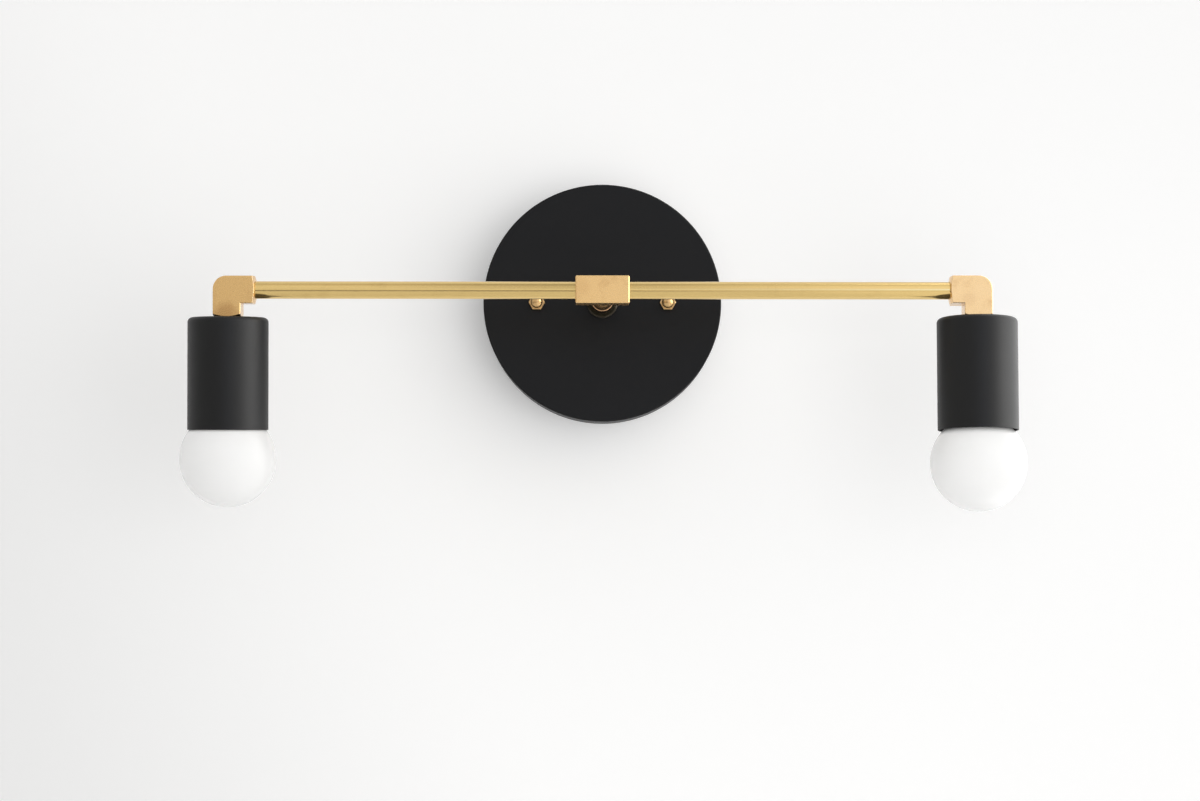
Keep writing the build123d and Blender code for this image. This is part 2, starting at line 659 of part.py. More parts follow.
with BuildPart() as bulb_insulator:
    with BuildSketch(Plane.XZ):
        Polygon(
            (0, TIP_HEIGHT),
            (INSULATOR_TOP_RADIUS, TIP_HEIGHT),
            (base_bore_radius + INSULATOR_LIP, BASE_START),
            (0, BASE_START),
            align=None,
        )
    revolve(axis=Axis.Z)

with BuildPart() as bulb_base:
    disc(Plane.XY.offset(BASE_START), 2 * BASE_ROOT_RADIUS, BASE_LENGTH, 2 * base_bore_radius)
    thread_ridge(thread_start, BASE_ROOT_RADIUS, BASE_CREST_RADIUS)

with BuildPart() as bulb_collar:
    with BuildSketch(Plane.XZ):
        Polygon(
            (base_bore_radius, base_end),
            (BASE_CREST_RADIUS, base_end),
            (BASE_CREST_RADIUS, base_end + REST_GAP),
            (GLOBE_NECK_RADIUS, collar_end),
            (GLOBE_NECK_RADIUS - COLLAR_RIM, collar_end),
            align=None,
        )
    revolve(axis=Axis.Z)

with BuildPart() as bulb_globe:
    with Locations((0, 0, globe_centre)):
        Sphere(globe_radius)
        Sphere(globe_radius - GLOBE_WALL, mode=Mode.SUBTRACT)
    split(bisect_by=Plane.XY.offset(collar_end), keep=Keep.TOP)

with BuildPart() as light_board:
    globe_opening = sqrt((globe_radius - GLOBE_WALL) ** 2 - (globe_centre - collar_end) ** 2)
    board_radius = globe_opening - BOARD_GAP
    disc(Plane.XY.offset(collar_end), 2 * board_radius, BOARD_THICKNESS)
    with BuildSketch(Plane.XY.offset(collar_end + BOARD_THICKNESS)):
        with PolarLocations(0.6 * board_radius, CHIP_COUNT):
            Rectangle(CHIP_SIZE, CHIP_SIZE)
    extrude(amount=CHIP_HEIGHT)

# Files: single pieces first, then the lamps and bulbs placed on each end of the bar

single_pieces = {
    "canopy": canopy.part,
    "crossbar": crossbar.part,
    "canopy_studs": canopy_studs.part,
    "stud_jam_nuts": stud_jam_nuts.part,
    "canopy_cap_nuts": canopy_cap_nuts.part,
    "ground_screw": ground_screw.part,
    "ground_ring": ground_ring.part,
    "ground_wire": ground_wire.part,
    "stem_tube": stem_tube.part,
    "check_ring": check_ring.part,
    "stem_neck": stem_neck.part,
    "stem_lock_washer": stem_lock_washer.part,
    "stem_locknut": stem_locknut.part,
    "tee_block": tee_block.part,
}
for name in connectors:
    single_pieces[f"{name}_connector"] = connectors[name]
    single_pieces[f"{name}_leads"] = leads[name]
for side in arm_tubes:
    single_pieces[f"{side}_arm_tube"] = arm_tubes[side]
    single_pieces[f"{side}_arm_wires"] = arm_wires[side]
for label, piece in single_pieces.items():
    write(piece, label)

lamp_pieces = {
    "elbow": elbow.part,
    "elbow_set_screw": elbow_set_screw.part,
    "cup_nipple": cup_nipple.part,
    "cup": cup.part,
    "holder_strap": holder_strap.part,
    "cup_locknut": cup_locknut.part,
    "lampholder": lampholder.part,
    "strap_screws": strap_screws.part,
    "terminal_screws": terminal_screws.part,
    "screw_shell": screw_shell.part,
    "centre_contact": centre_contact.part,
    "lamp_wires": lamp_wires.part,
}
bulb_pieces = {
    "bulb_tip": bulb_tip_contact.part,
    "bulb_insulator": bulb_insulator.part,
    "bulb_base": bulb_base.part,
    "bulb_collar": bulb_collar.part,
    "bulb_globe": bulb_globe.part,
    "light_board": light_board.part,
}
for side, sign in {"left": -1, "right": 1}.items():
    tilt = radians(LAMP_TILT[side])
    lamp_place = Plane(
        (sign * LAMP_SPACING / 2, -BAR_OFFSET, 0),
        x_dir=(sign, 0, 0),
        z_dir=(0, -sin(tilt), -cos(tilt)),
    ).location
    backed_out = BULB_BACKED_OUT[side]
    bulb_turn = 360 * backed_out / THREAD_PITCH
    bulb_place = lamp_place * Location((0, 0, bulb_tip + backed_out), (0, 0, bulb_turn))
    for label, piece in lamp_pieces.items():
        write(piece.moved(lamp_place), f"{side}_{label}")
    for label, piece in bulb_pieces.items():
        write(piece.moved(bulb_place), f"{side}_{label}")
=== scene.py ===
"""Looks of a bar sconce with two globe lamps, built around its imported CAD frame.

Metres, in the frame of the CAD: X to the right along the bar, Y into the wall, Z up. The wall is
the plane Y = 0. Each sub-assembly is a class that builds its meshes and dresses its nodes.
"""

import json
import logging
import math
from dataclasses import dataclass, field
from enum import Enum

import bmesh
import bpy
from mathutils import Matrix, Vector

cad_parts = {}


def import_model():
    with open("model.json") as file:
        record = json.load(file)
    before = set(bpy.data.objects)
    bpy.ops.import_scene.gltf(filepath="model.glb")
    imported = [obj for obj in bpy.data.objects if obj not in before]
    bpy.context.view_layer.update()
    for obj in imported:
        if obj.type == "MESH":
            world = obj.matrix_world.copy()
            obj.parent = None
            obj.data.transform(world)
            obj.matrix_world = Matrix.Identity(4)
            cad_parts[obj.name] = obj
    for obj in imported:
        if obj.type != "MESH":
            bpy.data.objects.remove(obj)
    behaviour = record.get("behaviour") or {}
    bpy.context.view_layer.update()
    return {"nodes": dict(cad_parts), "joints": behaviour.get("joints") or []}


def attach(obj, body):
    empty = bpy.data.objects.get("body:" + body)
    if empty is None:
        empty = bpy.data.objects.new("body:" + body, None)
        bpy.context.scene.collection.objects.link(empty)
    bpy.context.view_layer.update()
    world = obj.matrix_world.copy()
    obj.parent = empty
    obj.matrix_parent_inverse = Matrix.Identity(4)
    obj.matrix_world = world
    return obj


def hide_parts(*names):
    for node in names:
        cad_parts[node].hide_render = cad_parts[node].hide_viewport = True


logging.basicConfig(level=logging.INFO, format="%(name)s: %(message)s")
logger = logging.getLogger("sconce")

Color = tuple[float, float, float]
Point = tuple[float, float]
Triple = tuple[float, float, float]
WHITE: Color = (1.0, 1.0, 1.0)
SCRATCH_DEPTH = 0.00003
OUT_OF_WALL = Matrix.Rotation(math.pi / 2, 4, "X")


class Signal:
    """A socket's output on its way through a node tree, open to Python arithmetic."""

    def __init__(self, tree: "ShaderTree", socket: bpy.types.NodeSocket) -> None:
        """Keep the tree that grows and the socket that the signal leaves by."""
        self.tree = tree
        self.socket = socket

    def _join(
        self, operation: str, left: "Signal | float | Triple", right: "Signal | float | Triple"
    ) -> "Signal":
        """Add the node that joins two operands.

        Args:
            operation: Name of the sum, as Math, Vector Math and Mix spell it.
            left: First operand.
            right: Second operand.

        Returns:
            The joined signal.
        """
        kinds = {s.socket.type for s in (left, right) if isinstance(s, Signal)}
        if "RGBA" in kinds:
            return self.tree.add(
                "ShaderNodeMix",
                {"data_type": "RGBA", "blend_type": operation},
                {"Factor_Float": 1.0, "A_Color": left, "B_Color": right},
                "Result_Color",
            )
        if "VECTOR" in kinds:
            return self.tree.add("ShaderNodeVectorMath", {"operation": operation}, {0: left, 1: right})
        return self.tree.add("ShaderNodeMath", {"operation": operation}, {0: left, 1: right})

    def __add__(self, other: "Signal | float | Triple") -> "Signal":
        """Sum of two signals."""
        return self._join("ADD", self, other)

    def __radd__(self, other: "float | Triple") -> "Signal":
        """Sum with a number on the left."""
        return self._join("ADD", other, self)

    def __sub__(self, other: "Signal | float | Triple") -> "Signal":
        """Difference of two signals."""
        return self._join("SUBTRACT", self, other)

    def __rsub__(self, other: "float | Triple") -> "Signal":
        """Difference from a number on the left."""
        return self._join("SUBTRACT", other, self)

    def __mul__(self, other: "Signal | float | Triple") -> "Signal":
        """Product of two signals."""
        return self._join("MULTIPLY", self, other)

    def __rmul__(self, other: "float | Triple") -> "Signal":
        """Product with a number on the left."""
        return self._join("MULTIPLY", other, self)

    def __abs__(self) -> "Signal":
        """Size of a value without its sign."""
        return self.tree.add("ShaderNodeMath", {"operation": "ABSOLUTE"}, {0: self})

    def root(self) -> "Signal":
        """Square root of a value."""
        return self.tree.add("ShaderNodeMath", {"operation": "SQRT"}, {0: self})

    def sway(self, amount: float) -> "Signal":
        """Departure of a noise from its middle, times an amount."""
        return (self - 0.5) * amount

    def ease(self, start: float, end: float) -> "Signal":
        """Rise smoothly from 0, where the value is start, to 1, where it is end.

        Args:
            start: Value that becomes 0.
            end: Value that becomes 1, above or below start.

        Returns:
            The eased value, held at 0 and 1 outside.
        """
        return self.tree.add(
            "ShaderNodeMapRange",
            {"clamp": True, "interpolation_type": "SMOOTHSTEP"},
            {"Value": self, "From Min": start, "From Max": end},
            "Result",
        )


class ShaderTree:
    """Node tree of one material or of the world."""

    def __init__(self, owner: bpy.types.Material | bpy.types.World) -> None:
        """Empty an owner's node tree and take it over."""
        owner.use_nodes = True
        self.tree = owner.node_tree
        self.tree.nodes.clear()

    @staticmethod
    def _pick(sockets: bpy.types.bpy_prop_collection, key: str | int) -> bpy.types.NodeSocket:
        """Find a socket.

        Args:
            sockets: Inputs or outputs of a node.
            key: Number, identifier or name of the socket.

        Returns:
            The socket.
        """
        if isinstance(key, int):
            return sockets[key]
        return next((socket for socket in sockets if socket.identifier == key), None) or sockets[key]

    def _feed(self, socket: bpy.types.NodeSocket, value: "Signal | float | Triple") -> None:
        """Link a signal to a socket, or set a number, vector or colour on it.

        Args:
            socket: Input to feed.
            value: Signal, number, vector or colour.
        """
        if isinstance(value, Signal):
            self.tree.links.new(value.socket, socket)
            return
        if socket.type in ("RGBA", "VECTOR") and isinstance(value, (int, float)):
            value = (value, value, value)
        socket.default_value = (*value, 1.0) if socket.type == "RGBA" else value

    def add(
        self,
        kind: str,
        settings: dict[str, object] | None = None,
        inputs: dict[str | int, object] | None = None,
        output: str | int = 0,
    ) -> Signal:
        """Add a node.

        Args:
            kind: Blender's type of the node.
            settings: Properties of the node, set before its sockets.
            inputs: Values or signals of the input sockets.
            output: Output that the signal leaves by.

        Returns:
            The node's output as a signal.
        """
        node = self.tree.nodes.new(kind)
        for key, value in (settings or {}).items():
            setattr(node, key, value)
        for key, value in (inputs or {}).items():
            self._feed(self._pick(node.inputs, key), value)
        return Signal(self, self._pick(node.outputs, output))

    def mix(self, low: "Signal | Color", high: "Signal | Color", factor: "Signal | float") -> Signal:
        """Blend two colours.

        Args:
            low: Colour where the factor is 0.
            high: Colour where the factor is 1.
            factor: Share of the second colour, held between 0 and 1.

        Returns:
            The blended colour.
        """
        return self.add(
            "ShaderNodeMix",
            {"data_type": "RGBA", "clamp_factor": True},
            {"Factor_Float": factor, "A_Color": low, "B_Color": high},
            "Result_Color",
        )

    def blend(self, low: Signal, high: Signal, factor: Signal) -> Signal:
        """Blend two shaders by a factor."""
        return self.add("ShaderNodeMixShader", None, {0: factor, 1: low, 2: high}, "Shader")

    def axes(self, way: Signal) -> tuple[Signal, Signal, Signal]:
        """Split a vector into its three values."""
        x, y, z = (self.add("ShaderNodeSeparateXYZ", None, {0: way}, axis) for axis in "XYZ")
        return x, y, z

    def ray(self, kind: str) -> Signal:
        """1 where the light path's last step was a ray of a kind, such as Camera."""
        return self.add("ShaderNodeLightPath", output=f"Is {kind} Ray")

    def place(self) -> Signal:
        """Object coordinates, which are metres in the frame at rest."""
        return self.add("ShaderNodeTexCoord", output="Object")

    def distance(self, middle: Triple) -> Signal:
        """Metres from a point of the frame."""
        inputs = {0: self.place(), 1: middle}
        return self.add("ShaderNodeVectorMath", {"operation": "DISTANCE"}, inputs, "Value")

    def noise(
        self, scale: float, detail: float = 3.0, rough: float = 0.5, stretch: Triple = (1.0, 1.0, 1.0)
    ) -> Signal:
        """Smooth noise between 0 and 1.

        Args:
            scale: Lumps per metre.
            detail: Number of finer layers.
            rough: Share of the finer layers.
            stretch: Factor on each axis; a small one draws the lumps out along it.

        Returns:
            The noise as a value.
        """
        return self.add(
            "ShaderNodeTexNoise",
            {"noise_dimensions": "3D"},
            {"Vector": self.place() * stretch, "Scale": scale, "Detail": detail, "Roughness": rough},
        )

    def specks(self, scale: float) -> Signal:
        """Distance to the nearest of scattered points, about scale of them per metre."""
        return self.add(
            "ShaderNodeTexVoronoi", {"feature": "F1"}, {"Vector": self.place(), "Scale": scale}, "Distance"
        )

    def bump(self, height: Signal, strength: float, depth: float, base: Signal | None = None) -> Signal:
        """Surface normal bent by a height.

        Args:
            height: Height between 0 and 1.
            strength: Share of the bump.
            depth: Metres that a height of 1 stands for.
            base: Normal to bend, or None for the surface's own.

        Returns:
            The bent normal.
        """
        inputs = {"Strength": strength, "Distance": depth, "Height": height}
        return self.add("ShaderNodeBump", None, inputs | ({"Normal": base} if base else {}), "Normal")

    def edges(self, radius: float) -> tuple[Signal, Signal]:
        """Soften the edges between faces.

        Args:
            radius: Metres that an edge is rounded over.

        Returns:
            The softened normal, and how far it leans away from the face, from 0 to about 0.3.
        """
        soft = self.add("ShaderNodeBevel", {"samples": 6}, {"Radius": radius})
        face = self.add("ShaderNodeNewGeometry", output="Normal")
        lean = self.add("ShaderNodeVectorMath", {"operation": "DOT_PRODUCT"}, {0: soft, 1: face}, "Value")
        return soft, 1 - lean

    def principled(self, **inputs: object) -> Signal:
        """Principled shader; an input's name is written with underscores for its spaces."""
        named = {key.replace("_", " "): value for key, value in inputs.items()}
        return self.add("ShaderNodeBsdfPrincipled", None, named, "BSDF")

    def close(self, surface: Signal, kind: str = "ShaderNodeOutputMaterial") -> None:
        """Link a shader to the tree's output node."""
        node = self.tree.nodes.new(kind)
        self.tree.links.new(surface.socket, node.inputs["Surface"])


@dataclass(frozen=True)
class Finish:
    """A finish that a piece can be dressed in."""

    name: str

    def material(self) -> bpy.types.Material:
        """Make the finish's material on its first use.

        Returns:
            The material.
        """
        made = bpy.data.materials.get(self.name)
        if made is None:
            made = bpy.data.materials.new(self.name)
            tree = ShaderTree(made)
            tree.close(self.surface(tree))
        return made

    def surface(self, tree: ShaderTree) -> Signal:
        """Build the finish's shader in a tree and return it."""
        raise NotImplementedError

    def dress(self, piece: bpy.types.Object) -> None:
        """Give a piece this finish all over."""
        piece.data.materials.clear()
        piece.data.materials.append(self.material())


class Grain(Enum):
    """Direction in which a metal was drawn or brushed, as a stretch of the coordinates."""

    ALONG_X = (0.012, 1.0, 1.0)
    ALONG_Y = (1.0, 0.012, 1.0)
    NONE = (1.0, 1.0, 1.0)


@dataclass(frozen=True)
class PowderCoat(Finish):
    """Satin black powder coat with a fine orange peel."""

    color: Color = (0.0035, 0.0035, 0.0037)
    pale: Color = (0.0065, 0.0065, 0.0068)
    dust_color: Color = (0.03, 0.03, 0.029)
    roughness: float = 0.46
    shine: float = 0.22
    peel_scale: float = 1500.0
    peel_depth: float = 0.0002
    cloud_scale: float = 38.0
    dust_scale: float = 420.0
    dusty_scale: float = 55.0

    def surface(self, tree: ShaderTree) -> Signal:
        """Build the coat: cloudy tone, a little dust, uneven gloss and orange peel.

        Args:
            tree: Tree that the shader is built in.

        Returns:
            The shader.
        """
        peel = tree.noise(self.peel_scale, 2.0, 0.4)
        cloud = tree.noise(self.cloud_scale, 4.0, 0.6)
        dust = tree.specks(self.dust_scale).ease(0.07, 0.03) * tree.noise(self.dusty_scale).ease(0.5, 0.7)
        tone = tree.mix(self.color, self.pale, cloud * 0.7 + peel * 0.3)
        return tree.principled(
            Base_Color=tree.mix(tone, self.dust_color, dust * 0.5),
            Roughness=self.roughness + cloud.sway(0.10) + peel.sway(0.08),
            Specular_IOR_Level=self.shine,
            Normal=tree.bump(peel, 0.10, self.peel_depth),
        )


@dataclass(frozen=True)
class DullSpot:
    """A dull, darker spot: its middle in the frame, how far it reaches and how dull it is."""

    middle: Triple
    reach: float
    dullness: float


@dataclass(frozen=True)
class Brass(Finish):
    """Brass under clear lacquer, drawn or cast."""

    color: Color = (0.765, 0.55, 0.214)
    deep: Color = (0.62, 0.43, 0.155)
    roughness: float = 0.15
    grain: Grain = Grain.NONE
    streak: float = 0.0
    streak_scale: float = 420.0
    scratch_scale: float = 1500.0
    speckle: float = 0.12
    speckle_scale: float = 1900.0
    patch: float = 0.35
    patch_scale: float = 95.0
    lacquer: float = 0.2
    purity: float = 1.0
    edge_radius: float = 0.00015
    # Pale colour of the edges: partly wear, partly painted highlight
    wear_and_highlight_color: Color = (0.95, 0.84, 0.62)
    edge_wear_and_highlight: float = 0.0
    dull_spots: tuple[DullSpot, ...] = ()

    def surface(self, tree: ShaderTree) -> Signal:
        """Build the brass: patches, streaks along the grain, specks, dull spots, pale edges that are partly
        wear and partly painted highlight, and lacquer.

        Args:
            tree: Tree that the shader is built in.

        Returns:
            The shader.
        """
        lines = tree.noise(self.scratch_scale, 4.0, 0.65, self.grain.value)
        bands = tree.noise(self.streak_scale, 2.0, 0.5, self.grain.value)
        cloud = tree.noise(self.patch_scale, 4.0, 0.6)
        fine = tree.noise(self.speckle_scale, 3.0, 0.7)
        spots = fine.ease(0.55, 0.78) * self.speckle + cloud.ease(0.52, 0.75) * self.patch
        dull = spots + (bands.ease(0.45, 0.72) + lines.ease(0.5, 0.8)) * self.streak
        for dull_spot in self.dull_spots:
            away = tree.distance(dull_spot.middle) + cloud.sway(dull_spot.reach)
            dull = dull + away.ease(dull_spot.reach, 0.3 * dull_spot.reach) * dull_spot.dullness
        soft, lean = tree.edges(self.edge_radius)
        # Every edge is paled: partly wear, partly a painted highlight
        wear_and_highlight = lean.ease(0.02, 0.12) * self.edge_wear_and_highlight
        return tree.principled(
            Base_Color=tree.mix(tree.mix(self.color, self.deep, dull), self.wear_and_highlight_color, wear_and_highlight),
            Metallic=self.purity,
            Roughness=self.roughness + lines.sway(0.10) + cloud.sway(0.07),
            Coat_Weight=self.lacquer,
            Coat_Roughness=0.15,
            Normal=tree.bump(lines * 0.7 + fine * 0.3, 0.22, SCRATCH_DEPTH, soft),
        )


@dataclass(frozen=True)
class AgedAndShadedBrass(Finish):
    """Brass on a round piece along Y, dark partly from age and partly from painted shade, with a painted
    highlight along its front edge, smoothed by wear.
    """

    color: Color = (0.085, 0.055, 0.034)
    deep: Color = (0.035, 0.025, 0.018)
    # Colour of the painted highlight on the front edge
    bright: Color = (0.62, 0.36, 0.19)
    edge_radius: float = 0.006
    edge_front: float = -0.0414
    edge_width: float = 0.0007
    roughness: float = 0.34
    cloud_scale: float = 160.0
    speckle_scale: float = 1400.0

    def surface(self, tree: ShaderTree) -> Signal:
        """Build the brass: cloudy dark tone, partly age and partly painted shade, and a painted highlight
        along one edge, smoothed by wear.

        Args:
            tree: Tree that the shader is built in.

        Returns:
            The shader.
        """
        x, y, z = tree.axes(tree.place())
        cloud = tree.noise(self.cloud_scale, 4.0, 0.6)
        fine = tree.noise(self.speckle_scale, 3.0, 0.6)
        width = self.edge_width
        rim = (x * x + z * z).root().ease(self.edge_radius - width, self.edge_radius - 0.4 * width)
        front = y.ease(self.edge_front + 1.3 * width, self.edge_front + 0.6 * width)
        # Painted highlight along the front edge, also smoothed by wear
        wear_and_highlight = rim * front * (0.75 + fine * 0.35)
        # Painted shade: the dark tone stands partly for the shade under the tee
        aged_and_shaded = tree.mix(self.deep, self.color, cloud * 0.8 + fine * 0.3)
        return tree.principled(
            Base_Color=tree.mix(aged_and_shaded, self.bright, wear_and_highlight),
            Metallic=1.0,
            Roughness=self.roughness + cloud.sway(0.12) - wear_and_highlight * 0.12,
            Coat_Weight=0.15,
            Coat_Roughness=0.2,
            Normal=tree.bump(fine, 0.15, SCRATCH_DEPTH),
        )


@dataclass(frozen=True)
class PlainMetal(Finish):
    """Bare or plated metal with a cloudy, slightly scratched surface."""

    color: Color = (0.60, 0.60, 0.58)
    deep: Color = (0.40, 0.40, 0.39)
    roughness: float = 0.34
    scratch_scale: float = 1800.0
    cloud_scale: float = 120.0
    spangle_scale: float = 500.0

    def surface(self, tree: ShaderTree) -> Signal:
        """Build the metal: spangled tone, fine scratches and uneven gloss.

        Args:
            tree: Tree that the shader is built in.

        Returns:
            The shader.
        """
        lines = tree.noise(self.scratch_scale, 4.0, 0.7)
        cloud = tree.noise(self.cloud_scale, 4.0, 0.6)
        spangle = tree.specks(self.spangle_scale)
        return tree.principled(
            Base_Color=tree.mix(self.deep, self.color, cloud * 0.5 + spangle * 0.35 + lines * 0.3),
            Metallic=1.0,
            Roughness=self.roughness + cloud.sway(0.16) + lines.sway(0.12),
            Normal=tree.bump(lines, 0.2, SCRATCH_DEPTH),
        )


@dataclass(frozen=True)
class Moulded(Finish):
    """Moulded plastic, glaze, glass or insulation."""

    color: Color = (0.8, 0.8, 0.8)
    deep: Color = (0.6, 0.6, 0.6)
    roughness: float = 0.4
    texture_scale: float = 1800.0
    texture_depth: float = 0.00004
    cloud_scale: float = 60.0
    scatter: float = 0.0
    scatter_reach: float = 0.0012
    coat: float = 0.0
    shine: float = 0.5

    def surface(self, tree: ShaderTree) -> Signal:
        """Build the plastic: soft tone changes, moulded texture and uneven gloss.

        Args:
            tree: Tree that the shader is built in.

        Returns:
            The shader.
        """
        texture = tree.noise(self.texture_scale, 3.0, 0.55)
        cloud = tree.noise(self.cloud_scale, 4.0, 0.6)
        tone = 0.55 + cloud.sway(0.9) + texture.sway(0.3)
        return tree.principled(
            Base_Color=tree.mix(self.deep, self.color, tone),
            Roughness=self.roughness + cloud.sway(0.12) + texture.sway(0.08),
            Specular_IOR_Level=self.shine,
            Subsurface_Weight=self.scatter,
            Subsurface_Radius=(1.0, 1.0, 1.0),
            Subsurface_Scale=self.scatter_reach,
            Coat_Weight=self.coat,
            Coat_Roughness=0.08,
            Normal=tree.bump(texture, 0.15, self.texture_depth),
        )


@dataclass(frozen=True)
class StagePaint(Finish):
    """Rolled paint of the stage, clear from behind.

    What looks at it or mirrors it sees a paler paint, which glows a little, with painted shade low on the
    left.
    The wall's leans to the window, so that shadows fall to the far side. Metal mirrors it sunlit on the
    right.
    """

    color: Color = (0.86, 0.86, 0.86)
    seen_color: Color = (0.44, 0.44, 0.44)
    # Glow colour of the painted shade low on the left
    dim: Color = (0.79, 0.79, 0.79)
    glow: float = 0.5
    dim_edge: float = -0.5
    full_edge: float = -0.14
    dim_slope: float = 0.55
    sunlit: float = 0.0
    sun_edge: float = 0.19
    sun_full: float = 0.36
    lean: Triple = (0.0, 0.0, 0.0)
    roller_scale: float = 420.0
    roller_depth: float = 0.0004

    def surface(self, tree: ShaderTree) -> Signal:
        """Build the paint with a faint roller texture.

        Args:
            tree: Tree that the shader is built in.

        Returns:
            The shader.
        """
        leaning = tree.add("ShaderNodeNewGeometry", output="Normal") + self.lean
        rolled = tree.bump(tree.noise(self.roller_scale, 3.0, 0.6), 0.08, self.roller_depth, leaning)
        plain = {"Roughness": 0.8, "Specular_IOR_Level": 0.0}
        paint = tree.principled(Base_Color=self.color, **plain)
        x, _, z = tree.axes(tree.place())
        # Painted shade: the glow darkens towards the left and the bottom
        tone = (x + z * self.dim_slope).ease(self.dim_edge, self.full_edge)
        sun = tree.ray("Glossy") * x.ease(self.sun_edge, self.sun_full) * self.sunlit
        pale = tree.principled(
            Base_Color=self.seen_color,
            Emission_Color=tree.mix(self.dim, WHITE, tone) + sun,
            Emission_Strength=self.glow,
            Normal=rolled,
            **plain,
        )
        seen = tree.ray("Camera") + tree.ray("Glossy") + tree.ray("Transmission")
        behind = tree.add("ShaderNodeNewGeometry", output="Backfacing")
        clear = tree.add("ShaderNodeBsdfTransparent", output="BSDF")
        return tree.blend(tree.blend(paint, pale, seen), clear, behind)


CANOPY_COAT = PowderCoat("canopy_coat", shine=0.2)
CUP_COAT = PowderCoat(
    "cup_coat", color=(0.0018, 0.0018, 0.0019), pale=(0.0036, 0.0036, 0.0038), shine=0.36, roughness=0.5
)
TUBE_BRASS = Brass("tube_brass", grain=Grain.ALONG_X, streak=0.32, purity=0.88)
STEM_BRASS = Brass("stem_brass", grain=Grain.ALONG_Y, streak=0.32, purity=0.88)
CAST_BRASS = Brass(
    "cast_brass",
    color=(0.835, 0.528, 0.208),
    deep=(0.64, 0.37, 0.135),
    roughness=0.27,
    speckle=0.15,
    patch=0.5,
    patch_scale=150.0,
    lacquer=0.4,
    edge_radius=0.00026,
    # Edges paled, partly by wear and partly by a painted highlight
    edge_wear_and_highlight=0.85,
    dull_spots=(
        # Darker, duller spot low on the left elbow's leg, next to the cup
        DullSpot((-0.1915, -0.102, -0.0125), 0.0075, 1.0),
        DullSpot((-0.0110, -0.102, 0.0010), 0.0060, 0.3),
        DullSpot((0.0010, -0.102, 0.0035), 0.0040, 0.3),
        DullSpot((0.1855, -0.102, -0.0048), 0.0050, 0.3),
    ),
)
NUT_BRASS = Brass("nut_brass", color=(0.68, 0.44, 0.195), deep=(0.44, 0.255, 0.10), roughness=0.3)
SHELL_BRASS = Brass("shell_brass", color=(0.70, 0.52, 0.25), roughness=0.3, lacquer=0.0)
# Neck and check ring: dark partly from age, partly from painted shade under the tee
NECK_BRASS = AgedAndShadedBrass("neck_brass")
RING_BRASS = AgedAndShadedBrass(
    "ring_brass",
    color=(0.046, 0.039, 0.023),
    deep=(0.016, 0.014, 0.009),
    bright=(0.045, 0.034, 0.024),
    edge_radius=0.00825,
    edge_front=-0.0284,
)
ZINC = PlainMetal("zinc_plate")
STEEL = PlainMetal("bright_steel", color=(0.62, 0.61, 0.59), roughness=0.28)
TIN = PlainMetal("tin_plate", color=(0.66, 0.63, 0.58), deep=(0.48, 0.42, 0.36), roughness=0.3)
COPPER = PlainMetal("copper_wire", color=(0.72, 0.33, 0.17), deep=(0.45, 0.18, 0.09), roughness=0.26)
BASE_METAL = PlainMetal("rolled_base", color=(0.72, 0.72, 0.72), deep=(0.5, 0.5, 0.5), roughness=0.3)
SOLDER = PlainMetal("solder_tip", color=(0.5, 0.5, 0.5), deep=(0.3, 0.3, 0.3), roughness=0.45)
GREEN_PLATE = PlainMetal("green_plate", color=(0.05, 0.30, 0.09), deep=(0.02, 0.14, 0.04), roughness=0.34)
BLACK_WIRE = Moulded("black_wire", color=(0.020, 0.020, 0.021), deep=(0.010, 0.010, 0.010), roughness=0.38)
WHITE_WIRE = Moulded("white_wire", color=(0.78, 0.78, 0.75), deep=(0.62, 0.61, 0.57), roughness=0.4)
ORANGE_PLASTIC = Moulded("orange_plastic", color=(0.78, 0.22, 0.02), deep=(0.52, 0.12, 0.01), roughness=0.42)
PORCELAIN = Moulded(
    "glazed_holder", color=(0.82, 0.81, 0.76), deep=(0.70, 0.68, 0.61), roughness=0.25, coat=0.6
)
DARK_GLASS = Moulded("dark_glass", color=(0.03, 0.02, 0.03), deep=(0.012, 0.01, 0.012), roughness=0.2)
COLLAR_WHITE = Moulded("collar_plastic", color=(0.82, 0.81, 0.76), deep=(0.74, 0.73, 0.67), roughness=0.45)
OPAL = Moulded(
    "opal_globe",
    color=(0.915, 0.915, 0.91),
    deep=(0.895, 0.895, 0.89),
    roughness=0.24,
    texture_scale=2600.0,
    texture_depth=0.000008,
    scatter=1.0,
    shine=0.3,
)
BOARD = Moulded("chip_board", color=(0.80, 0.78, 0.66), deep=(0.66, 0.62, 0.45), roughness=0.5)
WALL = StagePaint(
    "wall_paint",
    seen_color=(0.82, 0.82, 0.82),
    dim=(0.53, 0.53, 0.53),
    glow=0.285,
    sunlit=7.6,
    lean=(0.95, 0.0, 0.4),
)
FLOOR = StagePaint("floor_paint", color=(0.9, 0.9, 0.9), sunlit=0.4)


def rounded(corners: list[Triple], steps: int = 10) -> list[Point]:
    """Round the corners of a closed outline.

    Args:
        corners: Two coordinates and the rounding radius of each corner.
        steps: Points on each rounded corner, less one.

    Returns:
        The outline's points in order.
    """
    points: list[Point] = []
    for index, (x, y, radius) in enumerate(corners):
        if radius <= 0.0:
            points.append((x, y))
            continue
        here = Vector((x, y))
        before = (Vector(corners[index - 1][:2]) - here).normalized()
        after = (Vector(corners[(index + 1) % len(corners)][:2]) - here).normalized()
        half = before.angle(after) / 2
        reach = radius / math.tan(half)
        middle = here + (before + after).normalized() * (radius / math.sin(half))
        start, end = here + before * reach - middle, here + after * reach - middle
        swing = start.angle_signed(end)
        for step in range(steps + 1):
            turn = -swing * step / steps
            spoke = Matrix.Rotation(turn, 2) @ start
            points.append((middle.x + spoke.x, middle.y + spoke.y))
    return points


